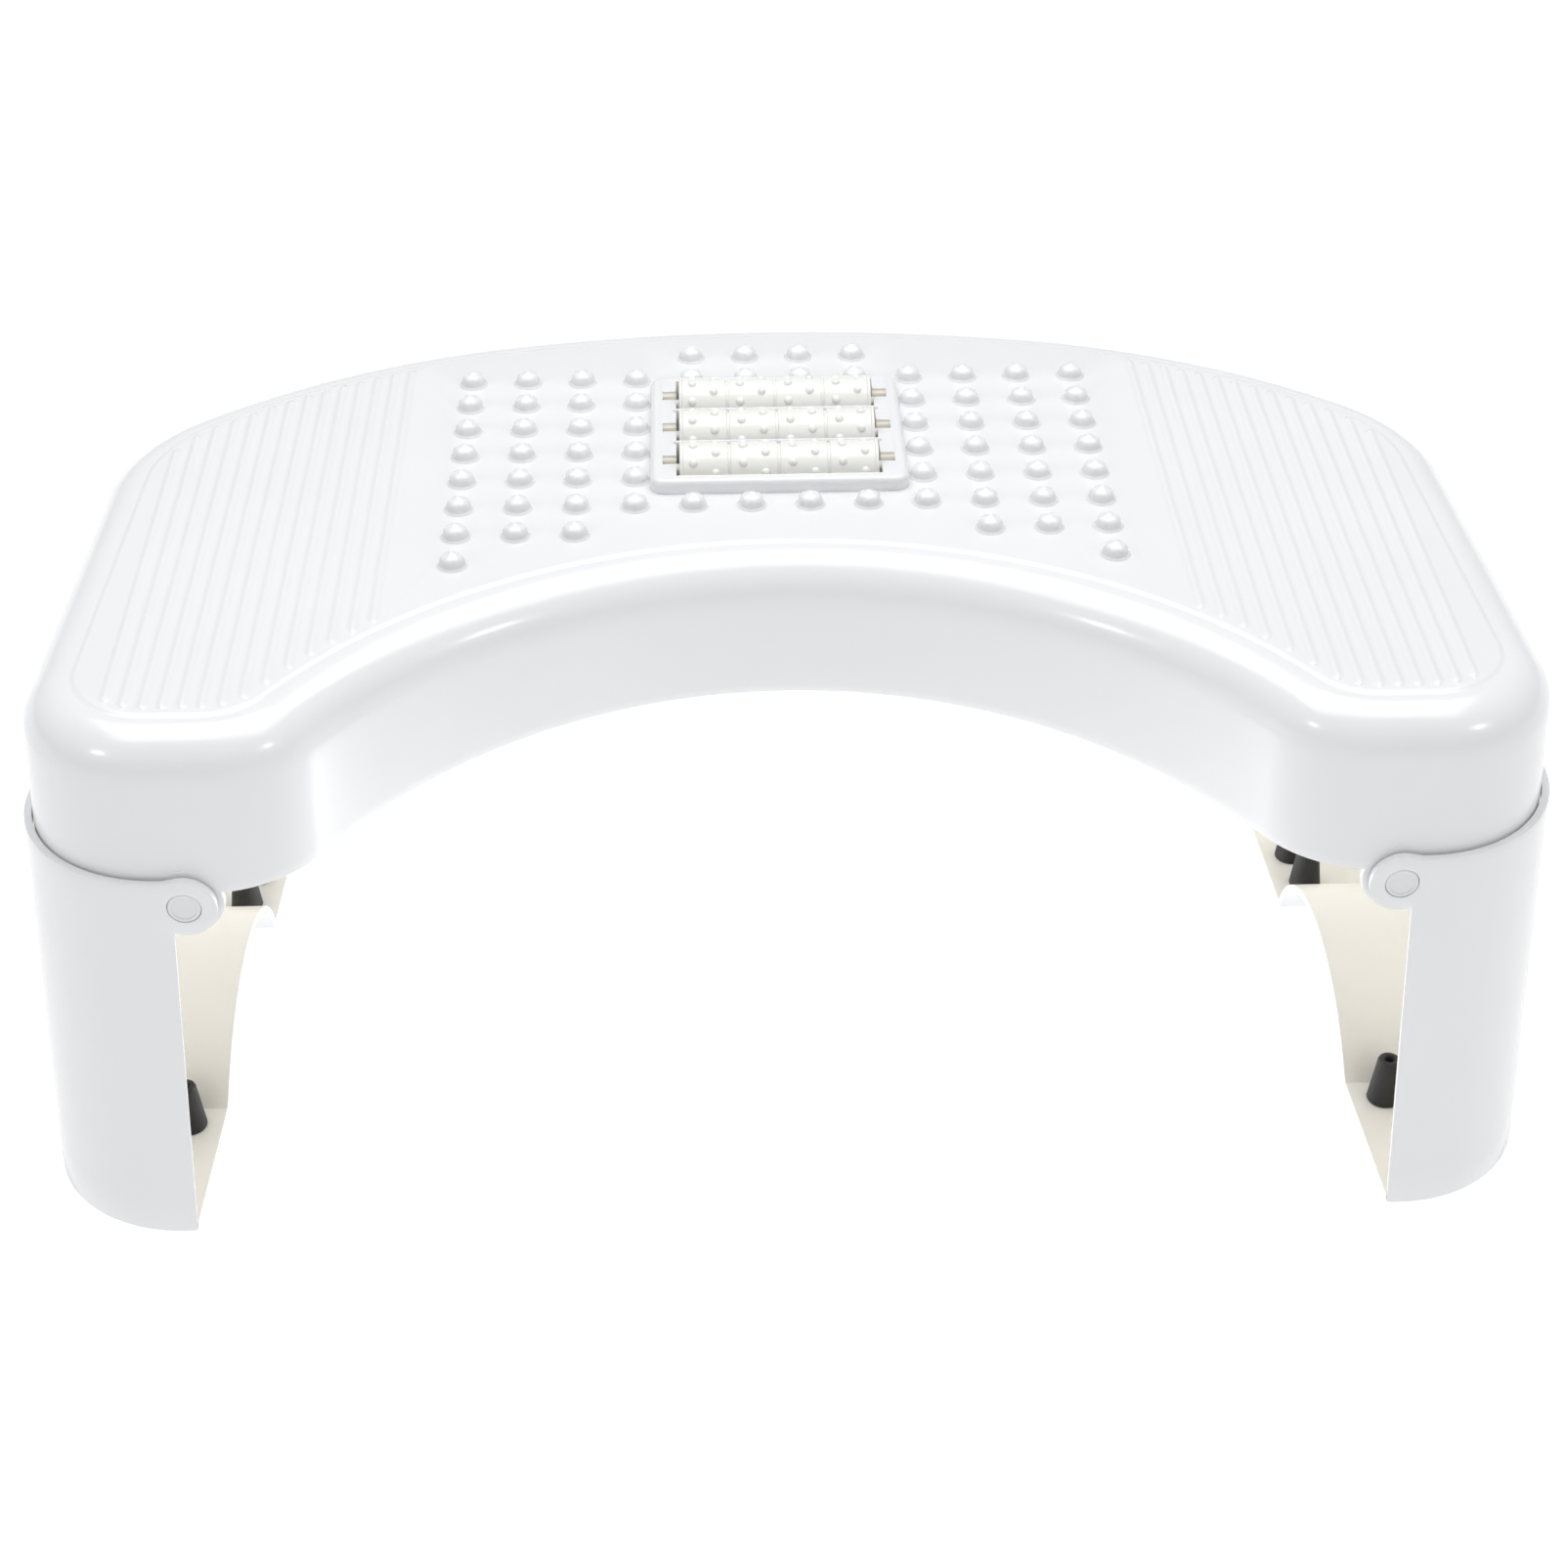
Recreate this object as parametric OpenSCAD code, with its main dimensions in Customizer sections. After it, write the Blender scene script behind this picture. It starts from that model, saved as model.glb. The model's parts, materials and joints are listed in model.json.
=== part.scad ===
// Folding C-shaped foot stool with a massage deck.
// A moulded deck stands on two hinged side legs and carries three loose massage rollers.

/* [Deck] */
// Depth of the stool from the front of the legs to the back of the skirt
stool_depth = 244; // [226:1:260]
// Half width of the deck at the top of its side walls
deck_half_w = 195.5; // [186:0.5:204]
// Height of the flat deck surface above the floor
deck_h = 161; // [150:1:175]
// Radius of the rounded rim
rim_r = 13; // [8:1:15]
// Wall thickness of the deck and its skirt
deck_wall = 2.5; // [2:0.1:3]
// Height of the lower edge of the skirt
skirt_z = 116; // [112:1:122]
// How far the skirt flares outward at its lower edge
flare = 1.7; // [1:0.1:2.4]
// Radius of the arc cut into the front, at the top of its wall
bay_r = 146.5; // [138:0.5:152]
// Radius of the outer front corners
front_corner_r = 36; // [30:1:42]
// Radius of the corners between the front ends and the arc
inner_corner_r = 32; // [24:1:36]

/* [Deck surface] */
// Spacing of the nubs across the deck
nub_pitch_x = 16.5; // [15:0.1:17.5]
// Spacing of the nub rows from back to front
nub_pitch_y = 15.4; // [14.5:0.1:15.8]
// Radius of a nub where it meets the deck
nub_r = 4; // [3:0.1:4.5]
// Height of a nub above the deck
nub_h = 4; // [2:0.1:4.5]
// Spacing of the grip ribs on the two wings
rib_pitch = 5; // [4:0.5:8]
// Width of a grip rib
rib_w = 1.8; // [1:0.1:2.5]
// Height of a grip rib
rib_h = 0.6; // [0.3:0.1:1]

/* [Rollers] */
// Radius of a roller drum without its beads
drum_r = 8; // [6:0.1:8.2]
// How far the beads stand out of a drum
bead_h = 0.8; // [0.4:0.1:0.9]
// Length of a roller drum
drum_len = 57; // [50:1:57.5]
// Radius of the axle rods
axle_r = 2; // [1.5:0.1:2.5]
// Height of the axles above the floor
axle_z = 161.5; // [160:0.5:163]
// Spacing of the three rollers
roller_pitch = 20; // [19.5:0.1:20.2]

/* [Legs] */
// Wall thickness of a leg
leg_wall = 2; // [1.8:0.1:2.4]
// Outward lean of each leg when it is open, in degrees
leg_lean = 3.3; // [1:0.1:5]
// Height of the top edge of a leg
leg_top = 121; // [119:0.5:122]
// Rise of the arch between a leg's two feet
arch_rise = 27; // [15:1:35]
// Half length of the arch at the floor
arch_half = 43; // [30:1:48]
// Radius of the rounded hinge ears
ear_r = 8.5; // [7.5:0.1:9]

/* [Hinges] */
// Distance of each hinge axis from the middle of the stool
hinge_x = 157; // [150:0.5:160]
// Height of the hinge axes
hinge_z = 113.4; // [111:0.1:114]
// Radius of a hinge pin
pin_r = 3; // [2.5:0.1:3.5]
// Radius of a hinge pin's head
pin_head_r = 4.5; // [4:0.1:5]
// Running clearance between a pin and a leg's ear
running_gap = 0.06; // [0.03:0.01:0.1]

/* [Feet] */
// Radius of a rubber foot's pad
foot_pad_r = 7; // [5:0.5:7]
// How far the pads stand below the leg
foot_pad_h = 1.2; // [0.8:0.1:1.5]
// Height of a rubber foot's tapered stem above the leg's floor
foot_stem_h = 15; // [8:1:18]

/* [Hidden] */
$fn = 64;

shell_white = [0.93, 0.94, 0.95];
roller_white = [0.92, 0.92, 0.88];
pin_grey = [0.82, 0.83, 0.85];
rubber_black = [0.06, 0.06, 0.06];

half_depth = stool_depth / 2;
leg_gap = 0.5;
leg_out = flare + leg_gap + leg_wall;
rim_top = deck_h - 0.3;
rim_z = rim_top - rim_r;
plate_z = deck_h - deck_wall;

// The plan outline of the top of the walls, as arcs from the middle of the back to the bay.
front_y = -half_depth + leg_out;
back_y = half_depth - flare;
bay_setback = 64.2;
side_turn = 2.2;
back_r = 390;
back_turn = 12;
flank_r = 205;
flank_turn = 30;
back_c = [0, back_y - back_r];
flank_a = 90 - back_turn;
flank_c = back_c + (back_r - flank_r) * [cos(flank_a), sin(flank_a)];
corner_a = flank_a - flank_turn;
corner_start = flank_c + flank_r * [cos(corner_a), sin(corner_a)];
corner_r = (deck_half_w - corner_start.x) / (cos(side_turn) - cos(corner_a));
corner_c = corner_start - corner_r * [cos(corner_a), sin(corner_a)];
side_start = corner_c + corner_r * [cos(side_turn), sin(side_turn)];
side_len = (side_start.y - front_y - front_corner_r * (1 + sin(side_turn))) / cos(side_turn);
front_x = side_start.x + side_len * sin(side_turn) - front_corner_r * cos(side_turn);
front_c = [front_x, front_y + front_corner_r];
bay_c = [0, front_y - bay_setback];
inner_y = front_y + inner_corner_r;
inner_c = [sqrt(pow(bay_r + inner_corner_r, 2) - pow(inner_y - bay_c.y, 2)), inner_y];
inner_a = atan2(inner_y - bay_c.y, inner_c.x);

// Points on an arc in n steps; skip leaves out that part of a step at both ends.
function arc(c, r, a0, a1, n, skip = 0) = [for (i = [skip:1:n - skip])
    let(a = a0 + (a1 - a0) * i / n) c + r * [cos(a), sin(a)]];

// How many steps each arc of the outline is drawn in.
arc_steps = [4, 6, 7, 10, 7, 13];

// The right half of the outline, moved outward by d.
function half_outline(d, skip = 0) = concat(
    arc(back_c, back_r + d, 90, flank_a, arc_steps[0], skip),
    arc(flank_c, flank_r + d, flank_a - 4, corner_a, arc_steps[1], skip),
    arc(corner_c, corner_r + d, corner_a - 6, side_turn, arc_steps[2], skip),
    arc(front_c, front_corner_r + d, side_turn, -90, arc_steps[3], skip),
    arc(inner_c, inner_corner_r + d, -90, inner_a - 180, arc_steps[4], skip),
    arc(bay_c, bay_r - d, inner_a + 4, 86, arc_steps[5], skip));

function flip(points) = [for (i = [len(points) - 1:-1:0]) [-points[i].x, points[i].y]];

function whole_outline(d) = let(right = half_outline(d)) concat(
    right,
    [[0, bay_c.y + bay_r - d]],
    flip([for (i = [1:len(right) - 1]) right[i]]));

module outline(d) {
    polygon(whole_outline(d));
}

// How much each point of the outline belongs to the bay: 0 on the sides and 1 on the arc.
half_share = concat(
    [for (k = [0:3]) for (i = [0:arc_steps[k]]) 0],
    [for (i = [0:arc_steps[4]]) i / arc_steps[4]],
    [for (i = [0:arc_steps[5]]) 1]);
whole_share = concat(half_share, [1], [for (i = [len(half_share) - 1:-1:1]) half_share[i]]);

// The section of the rim and skirt: distance out from the top of the wall, height, and 1 at the lower edge.
rim_lap = 4;
rim_mid = [-rim_r, rim_z];
rim_section = concat(
    [[flare, skirt_z, 1]],
    [for (p = arc(rim_mid, rim_r, 0, 90, 5)) [p.x, p.y, 0]],
    [[-rim_r - rim_lap, rim_top, 0], [-rim_r - rim_lap, rim_top - deck_wall, 0]],
    [for (p = arc(rim_mid, rim_r - deck_wall, 90, 0, 3)) [p.x, p.y, 0]],
    [[flare - deck_wall, skirt_z, 1]]);

// The skirt's lower edge doesn't flare in the bay, and it arches up there.
bay_rise = 4;
bay_arch_half = 118;

function edge_rise(x) = bay_rise * max(0, 1 - pow(x / bay_arch_half, 2));

function ring(corner) = let(p = whole_outline(corner.x), q = whole_outline(corner.x - flare * corner.z))
    [for (i = [0:len(p) - 1]) let(s = whole_share[i], xy = (1 - s) * p[i] + s * q[i])
        [xy.x, xy.y, corner.y + corner.z * s * edge_rise(xy.x)]];

// The triangles between ring k and ring k2, where each ring has n points.
function band(k, k2, n) = [for (i = [0:n - 1]) for (half = [0, 1])
    let(a = k * n, b = k2 * n, j = (i + 1) % n)
    half == 0 ? [a + i, a + j, b + j] : [a + i, b + j, b + i]];

module rim() {
    n = len(whole_outline(0));
    m = len(rim_section);
    polyhedron(
        points = [for (corner = rim_section) each ring(corner)],
        faces = [for (k = [0:m - 1]) each band(k, (k + 1) % m, n)]);
}

// The plate's corners lie between the rim's, so that no two edges meet in a point.
module plate() {
    right = half_outline(-rim_r - 0.5, 0.5);
    translate([0, 0, plate_z]) linear_extrude(deck_h - plate_z) polygon(concat(right, flip(right)));
}

// How deep the nubs and ribs are rooted in the deck.
root = 0.5;

// Nubs: row 0 is the back row, and columns count from the middle outward.
nub_back_y = 90.9;
frame_cols = 2;
nub_cols = 6;
side_rows = [[1, 6], [1, 6], [1, 6], [1, 7], [1, 7], [1, 8]];

function nub_rows(col) = col < frame_cols ? [0, 1, 6] : [for (r = [side_rows[col][0]:side_rows[col][1]]) r];

// A nub is the cap of a sphere that stands on the deck.
module nub() {
    ball_r = (nub_r * nub_r + nub_h * nub_h) / (2 * nub_h);
    intersection() {
        translate([0, 0, nub_h - ball_r]) sphere(ball_r);
        translate([0, 0, -root]) cylinder(r = nub_r + 1, h = nub_h + 1);
    }
}

module nubs() {
    for (col = [0:nub_cols - 1])
        for (row = nub_rows(col))
            for (side = [-1, 1])
                translate([side * (col + 0.5) * nub_pitch_x, nub_back_y - row * nub_pitch_y, deck_h]) nub();
}

// Grip ribs fill the wings between the back rim, the bay and the front rim.
rib_start = 110;
rib_margin = rim_r + 2;
rib_end = deck_half_w - rib_margin;

function back_line(x) = x < flank_c.x + (flank_r - rib_margin) * cos(corner_a)
    ? flank_c.y + sqrt(pow(flank_r - rib_margin, 2) - pow(x - flank_c.x, 2))
    : corner_c.y + sqrt(pow(corner_r - rib_margin, 2) - pow(x - corner_c.x, 2));

function front_line(x) = x < bay_r + rib_margin - 1
    ? max(front_y + rib_margin, bay_c.y + sqrt(pow(bay_r + rib_margin, 2) - x * x))
    : x > front_c.x
        ? front_c.y - sqrt(max(0, pow(front_corner_r - rib_margin, 2) - pow(x - front_c.x, 2)))
        : front_y + rib_margin;

module grip_ribs() {
    for (x = [rib_start:rib_pitch:rib_end])
        for (side = [-1, 1])
            translate([side * x - rib_w / 2, front_line(x), deck_h - root])
                cube([rib_w, back_line(x) - front_line(x), rib_h + root]);
}

// The roller frame drops through a window in the deck and clips under its edges.
frame_mid_y = 38.4;
frame_half_l = 33;
frame_half_w = 37;
frame_top = deck_h + 4.8;
tray_half_l = 31;
tray_half_w = 34;
tray_floor_z = 149;
tray_clear = 0.1;
bay_half_l = tray_half_l - 1.6;
bay_half_w = 29.4;

module window_cut() {
    translate([-tray_half_w - tray_clear, frame_mid_y - tray_half_l - tray_clear, plate_z - 5])
        cube([2 * (tray_half_w + tray_clear), 2 * (tray_half_l + tray_clear), 20]);
}

// Stiffening ribs under the flat of the deck.
stiff_w = 2;
stiff_z = 151;
stiff_inset = 4;
stiff_h = plate_z + 1 - stiff_z;
cross_ribs = [[0, 170], [76, 112]];

module stiffeners() {
    for (x = [45:30:165])
        for (side = [-1, 1])
            translate([side * x - stiff_w / 2, front_line(x) + stiff_inset, stiff_z])
                cube([stiff_w, back_line(x) - front_line(x) - 2 * stiff_inset, stiff_h]);
    for (rib = cross_ribs)
        translate([-rib[1], rib[0], stiff_z]) cube([2 * rib[1], stiff_w, stiff_h]);
}

// Hinges: the leg's front ear laps the skirt, and its back ear sits beside a lug under the deck.
ear_front = -half_depth;
lug_y = 59.5;
lug_t = 4;
back_ear_t = 3;
back_ear_gap = 0.4;
back_ear_y = lug_y - back_ear_t - back_ear_gap;
lobe_r = 10;
boss_r = 6.5;
boss_len = 12;
skirt_front = front_y - flare;
boss_front = skirt_front + 0.25;
gusset_z = hinge_z + 12;
gusset_len = 16;
press_gap = -0.01;

module along_y(y) {
    translate([hinge_x, y, hinge_z]) rotate([-90, 0, 0]) children();
}

module deck_hinge() {
    along_y(boss_front) cylinder(r = lobe_r, h = deck_wall);
    along_y(boss_front) cylinder(r = boss_r, h = boss_len);
    along_y(lug_y) cylinder(r = ear_r, h = lug_t);
    translate([hinge_x - ear_r, lug_y, hinge_z]) cube([ear_r + 2, lug_t, plate_z + 1 - hinge_z]);
    translate([hinge_x, lug_y, hinge_z]) cube([ear_r, lug_t, plate_z - 1 - hinge_z]);
    translate([hinge_x - stiff_w / 2, lug_y, gusset_z]) cube([stiff_w, gusset_len, rim_z - 0.5 - gusset_z]);
}

module mirrored() {
    children();
    mirror([1, 0, 0]) children();
}

module deck_shell() {
    color(shell_white) difference() {
        union() {
            rim();
            plate();
            nubs();
            grip_ribs();
            stiffeners();
            mirrored() deck_hinge();
        }
        window_cut();
        mirrored() along_y(-half_depth) cylinder(r = pin_r + press_gap, h = half_depth + lug_y + lug_t + 1);
    }
}

// Rollers run across the stool in a tray with open-topped axle slots.
roller_y = [frame_mid_y + roller_pitch, frame_mid_y, frame_mid_y - roller_pitch];
slot_depth = 4;
slot_w = 2 * axle_r - 0.5;
seat_gap = 0.03;
bar_t = 1.2;
bar_top = deck_h + 5.5;

module roller_frame() {
    color(shell_white) difference() {
        union() {
            translate([-frame_half_w, frame_mid_y - frame_half_l, deck_h])
                cube([2 * frame_half_w, 2 * frame_half_l, frame_top - deck_h]);
            translate([-tray_half_w, frame_mid_y - tray_half_l, tray_floor_z])
                cube([2 * tray_half_w, 2 * tray_half_l, deck_h - tray_floor_z + 1]);
            for (side = [-1, 1])
                translate([side * (tray_half_w + 0.4) - 1.2, frame_mid_y - 6, plate_z - 3.2])
                    cube([2.4, 12, 3]);
        }
        difference() {
            translate([-bay_half_w, frame_mid_y - bay_half_l, tray_floor_z + 1.6])
                cube([2 * bay_half_w, 2 * bay_half_l, 30]);
            for (k = [-0.5, 0.5])
                translate([-bay_half_w - 1, frame_mid_y + k * roller_pitch - bar_t / 2, axle_z - 4])
                    cube([2 * bay_half_w + 2, bar_t, bar_top - axle_z + 4]);
        }
        for (y = roller_y)
            translate([0, y, axle_z]) axle_slot();
    }
}

// The hollow for one axle: a round seat at each end, a narrow throat and a wide mouth.
module axle_slot() {
    reach = bay_half_w + slot_depth;
    rotate([0, 90, 0]) cylinder(r = axle_r + seat_gap, h = 2 * reach, center = true);
    translate([-reach, -slot_w / 2, 0]) cube([2 * reach, slot_w, 20]);
    translate([-reach, -axle_r - 0.6, axle_r + 0.6]) cube([2 * reach, 2 * axle_r + 1.2, 20]);
}

drum_sections = 4;
bead_rows = 8;
beads_per_section = 2;
groove_w = 0.8;
groove_depth = 0.6;

module roller_drum(i) {
    section_len = drum_len / drum_sections;
    bead_r = 1.5;
    color(roller_white) translate([0, roller_y[i], axle_z]) rotate([0, 90, 0]) difference() {
        union() {
            cylinder(r = drum_r, h = drum_len, center = true);
            for (row = [0:bead_rows - 1])
                for (k = [0:drum_sections * beads_per_section - 1])
                    rotate([0, 0, (row + (k % 2) / 2) * 360 / bead_rows])
                        translate([drum_r + bead_h - bead_r, 0, (k + 0.5) * section_len / 2 - drum_len / 2])
                            sphere(bead_r, $fn = 24);
        }
        cylinder(r = axle_r + 0.05, h = drum_len + 2, center = true);
        for (k = [1:drum_sections - 1])
            translate([0, 0, k * section_len - drum_len / 2 - groove_w / 2]) difference() {
                cylinder(r = drum_r + 2, h = groove_w);
                translate([0, 0, -1]) cylinder(r = drum_r - groove_depth, h = groove_w + 2);
            }
    }
}

module roller_axle(i) {
    color(pin_grey) translate([0, roller_y[i], axle_z]) rotate([0, 90, 0])
        cylinder(r = axle_r, h = 2 * (bay_half_w + slot_depth - 0.2), center = true);
}

// A headed pin: the head is sunk in the ear and the shank is pressed into the deck.
head_h = 1.1;
head_sink = 0.1;
head_slack = 0.05;

module hinge_pin(y, length) {
    color(pin_grey) along_y(y) {
        cylinder(r = pin_head_r - 0.1, h = head_h);
        cylinder(r = pin_r, h = length);
    }
}

module front_pin() {
    hinge_pin(ear_front + head_sink, boss_front + boss_len - ear_front - head_sink);
}

module back_pin() {
    hinge_pin(back_ear_y - head_h - head_slack, lug_y + lug_t - back_ear_y + head_h + head_slack);
}

// Legs: a thin wall that follows the deck's outline, leaning outward about the hinge axis.
foot_y = [-80, 25, 40];
foot_x = [174, 170, 168];
foot_neck_r = 4.1;
stem_r = [5, 3.3];
leg_floor = foot_pad_h;
arch_mid_y = -28;
arch_r = (arch_half * arch_half + arch_rise * arch_rise) / (2 * arch_rise);
arch_z = leg_floor + arch_rise - arch_r;
inner_front_x = hinge_x + 3;
inner_back_x = hinge_x - 8;
beyond = 250;
column_z = -30;
column_h = 200;
hinge_cut = [18, half_depth, 40];
hinge_cut_corner = [hinge_x - 20, 0, hinge_z - 24];

module lean() {
    translate([hinge_x, 0, hinge_z]) rotate([0, -leg_lean, 0]) translate([-hinge_x, 0, -hinge_z]) children();
}

module leg_plan(d) {
    intersection() {
        outline(d);
        polygon([
            [inner_front_x, -half_depth],
            [beyond, -half_depth],
            [beyond, half_depth],
            [inner_back_x, half_depth]]);
    }
}

module leg_column(d, z0, z1) {
    intersection() {
        lean() translate([0, 0, column_z]) linear_extrude(column_h) leg_plan(d);
        translate([0, -half_depth - 10, z0]) cube([beyond, stool_depth + 20, z1 - z0]);
    }
}

module arch_drum(grow) {
    translate([hinge_x - 30, arch_mid_y, arch_z]) rotate([0, 90, 0])
        cylinder(r = arch_r + grow, h = 100, $fn = 128);
}

module leg_walls() {
    difference() {
        leg_column(leg_out, leg_floor, leg_top);
        difference() {
            lean() translate([0, 0, column_z]) linear_extrude(column_h) leg_cavity_plan();
            translate([0, -half_depth, column_z]) cube([beyond, stool_depth, leg_floor + leg_wall - column_z]);
            arch_drum(leg_wall);
        }
        arch_drum(0);
    }
}

// The hollow of a leg, which runs out through its open inner side.
module leg_cavity_plan() {
    intersection() {
        outline(leg_out - leg_wall);
        translate([hinge_x - 40, -half_depth]) square([beyond, stool_depth]);
    }
}

module leg_right() {
    color(shell_white) difference() {
        union() {
            difference() {
                leg_walls();
                translate(hinge_cut_corner) cube(hinge_cut);
                along_y(-half_depth - 1) cylinder(r = ear_r, h = stool_depth + 2);
            }
            along_y(ear_front) cylinder(r = ear_r, h = leg_wall);
            back_ear();
        }
        along_y(-half_depth - 1) cylinder(r = pin_r + running_gap, h = stool_depth);
        along_y(ear_front - 1) cylinder(r = pin_head_r, h = head_h + head_sink + head_slack + 1);
        for (i = [0:2])
            translate([foot_x[i], foot_y[i], 0]) cylinder(r = foot_neck_r, h = leg_floor + 2 * leg_wall);
    }
}

// The inner back ear: a plate from the back wall of the leg to the hinge axis.
module back_ear() {
    along_y(back_ear_y) cylinder(r = ear_r, h = back_ear_t);
    intersection() {
        translate([hinge_x, back_ear_y, hinge_z - 16]) cube([60, back_ear_t, 16]);
        leg_column(leg_out - 1, 50, leg_top);
    }
}

module leg_left() {
    mirror([1, 0, 0]) leg_right();
}

// A rubber foot: a flat pad, a neck through the leg's floor and a tapered stem above it.
module foot(i) {
    color(rubber_black) translate([foot_x[i], foot_y[i], 0]) {
        cylinder(r = foot_pad_r, h = foot_pad_h);
        cylinder(r = foot_neck_r, h = leg_floor + leg_wall);
        translate([0, 0, leg_floor + leg_wall]) cylinder(r1 = stem_r[0], r2 = stem_r[1], h = foot_stem_h);
    }
}

module left_side() {
    mirror([1, 0, 0]) children();
}

deck_shell();
roller_frame();
roller_drum(0);  // roller_drum_back
roller_drum(1);  // roller_drum_middle
roller_drum(2);  // roller_drum_front
roller_axle(0);  // roller_axle_back
roller_axle(1);  // roller_axle_middle
roller_axle(2);  // roller_axle_front
left_side() front_pin();  // hinge_pin_front_left
front_pin();  // hinge_pin_front_right
left_side() back_pin();  // hinge_pin_back_left
back_pin();  // hinge_pin_back_right
leg_left();
leg_right();
left_side() foot(0);  // foot_left_front
left_side() foot(1);  // foot_left_middle
left_side() foot(2);  // foot_left_back
foot(0);  // foot_right_front
foot(1);  // foot_right_middle
foot(2);  // foot_right_back
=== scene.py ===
"""A folding C-shaped foot stool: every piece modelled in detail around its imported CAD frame."""
import json
import math
import random

import bmesh
import bpy
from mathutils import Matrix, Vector


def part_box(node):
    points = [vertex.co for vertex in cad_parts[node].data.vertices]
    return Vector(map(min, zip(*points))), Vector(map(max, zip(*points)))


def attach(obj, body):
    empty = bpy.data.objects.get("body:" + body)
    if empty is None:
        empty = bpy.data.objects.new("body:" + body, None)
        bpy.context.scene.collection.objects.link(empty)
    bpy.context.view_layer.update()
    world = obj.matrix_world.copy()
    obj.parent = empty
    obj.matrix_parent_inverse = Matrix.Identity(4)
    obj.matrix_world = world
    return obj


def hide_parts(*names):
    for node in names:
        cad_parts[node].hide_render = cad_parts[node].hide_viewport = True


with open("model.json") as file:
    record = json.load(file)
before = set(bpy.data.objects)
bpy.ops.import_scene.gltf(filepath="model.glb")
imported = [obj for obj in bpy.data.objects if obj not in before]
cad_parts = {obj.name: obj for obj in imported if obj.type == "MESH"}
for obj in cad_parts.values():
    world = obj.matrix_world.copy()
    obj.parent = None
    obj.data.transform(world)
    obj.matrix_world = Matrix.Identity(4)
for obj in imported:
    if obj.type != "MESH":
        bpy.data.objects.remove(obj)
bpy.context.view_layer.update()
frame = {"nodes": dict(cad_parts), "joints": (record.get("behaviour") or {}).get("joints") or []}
MM = 0.001
random.seed(11)


# ---------------------------------------------------------------- sizes, in millimetres
def mm(v):
    return v / MM


def node_box(node):
    """The lowest and highest corners of a CAD node."""
    lo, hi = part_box(node)
    return [mm(c) for c in lo], [mm(c) for c in hi]


joints = {j["name"]: j for j in frame["joints"]}
_, deck_hi = node_box("deck_shell")
leg_lo, _ = node_box("leg_right")
tray_lo, tray_hi = node_box("roller_frame")
HINGE_X, _, HINGE_Z = [mm(c) for c in joints["right_leg_fold"]["pos_m"]]

WALL = 2.5  # deck's wall
LEG_WALL = 2.0
FLARE = 1.7  # how far the skirt's lower edge stands out past its upper edge
LEG_GAP = 0.5  # between the skirt and a leg
LEG_OUT = FLARE + LEG_GAP + LEG_WALL
SIDE_A = 2.2  # degrees that the sides turn outward towards the front
SPLAY = 3.9  # how much wider the deck is at its front corners than at its back ones
HALF_W = deck_hi[0] - FLARE - SPLAY
BACK_Y = deck_hi[1] - FLARE
FRONT_Y = leg_lo[1] + LEG_OUT
SKIRT_Z = 116.0
DECK_Z = 161.0  # top of the nubbed field, which stands STEP_H above the rim
STEP_H = 0.6
RIM_R = 13.0
RIM_Z = DECK_Z - STEP_H - RIM_R
PLATE_Z = DECK_Z - 3.1  # underside of the deck's plate
EAR_R = 8.5
LEAN = math.radians(3.3)  # of a leg's walls
FLOOR_Z = leg_lo[2]
LEG_TOP = 121.0


def deg_point(c, r, a):
    """The point at a degrees on the circle of radius r about c."""
    return c[0] + r * math.cos(math.radians(a)), c[1] + r * math.sin(math.radians(a))


# The plan outline as tangent arcs from the middle of the back to the middle of the bay.
BACK_R, FLANK_R, FRONT_R, INNER_R, BAY_R = 390.0, 205.0, 36.0, 32.0, 146.5
BAY_SETBACK = 64.2
FLANK_A, CORNER_A = 78.0, 48.0
BACK_C = (0.0, BACK_Y - BACK_R)
FLANK_C = deg_point(BACK_C, BACK_R - FLANK_R, FLANK_A)
corner_start = deg_point(FLANK_C, FLANK_R, CORNER_A)
CORNER_R = (HALF_W - corner_start[0]) / (math.cos(math.radians(SIDE_A)) - math.cos(math.radians(CORNER_A)))
CORNER_C = deg_point(corner_start, -CORNER_R, CORNER_A)
side_start = deg_point(CORNER_C, CORNER_R, SIDE_A)
side_sin, side_cos = math.sin(math.radians(SIDE_A)), math.cos(math.radians(SIDE_A))
side_len = (side_start[1] - FRONT_Y - FRONT_R * (1 + side_sin)) / side_cos
FRONT_C = (side_start[0] + side_len * side_sin - FRONT_R * side_cos, FRONT_Y + FRONT_R)
BAY_C = (0.0, FRONT_Y - BAY_SETBACK)
inner_y = FRONT_Y + INNER_R
INNER_C = (math.sqrt((BAY_R + INNER_R) ** 2 - (inner_y - BAY_C[1]) ** 2), inner_y)
INNER_A = math.degrees(math.atan2(inner_y - BAY_C[1], INNER_C[0]))
# Each arc: centre, radius, 1 where the deck lies inside it or -1 where it lies outside, start and end angle.
ARCS = [
    (BACK_C, BACK_R, 1, 90, FLANK_A),
    (FLANK_C, FLANK_R, 1, FLANK_A, CORNER_A),
    (CORNER_C, CORNER_R, 1, CORNER_A, SIDE_A),
    (FRONT_C, FRONT_R, 1, SIDE_A, -90),
    (INNER_C, INNER_R, 1, -90, INNER_A - 180),
    (BAY_C, BAY_R, -1, INNER_A, 90),
]

FRONT_ARC = 3  # the number of the front corner's arc; the two after it lead into the bay and round it
BAY_RISE, BAY_ARCH_HALF = 4.0, 118.0
COARSE_STEP = 2.6  # between the points of the deck's skin
FINE_STEP = 1.5  # between the points of the outlines that ribs and stiffeners are cut to


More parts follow.
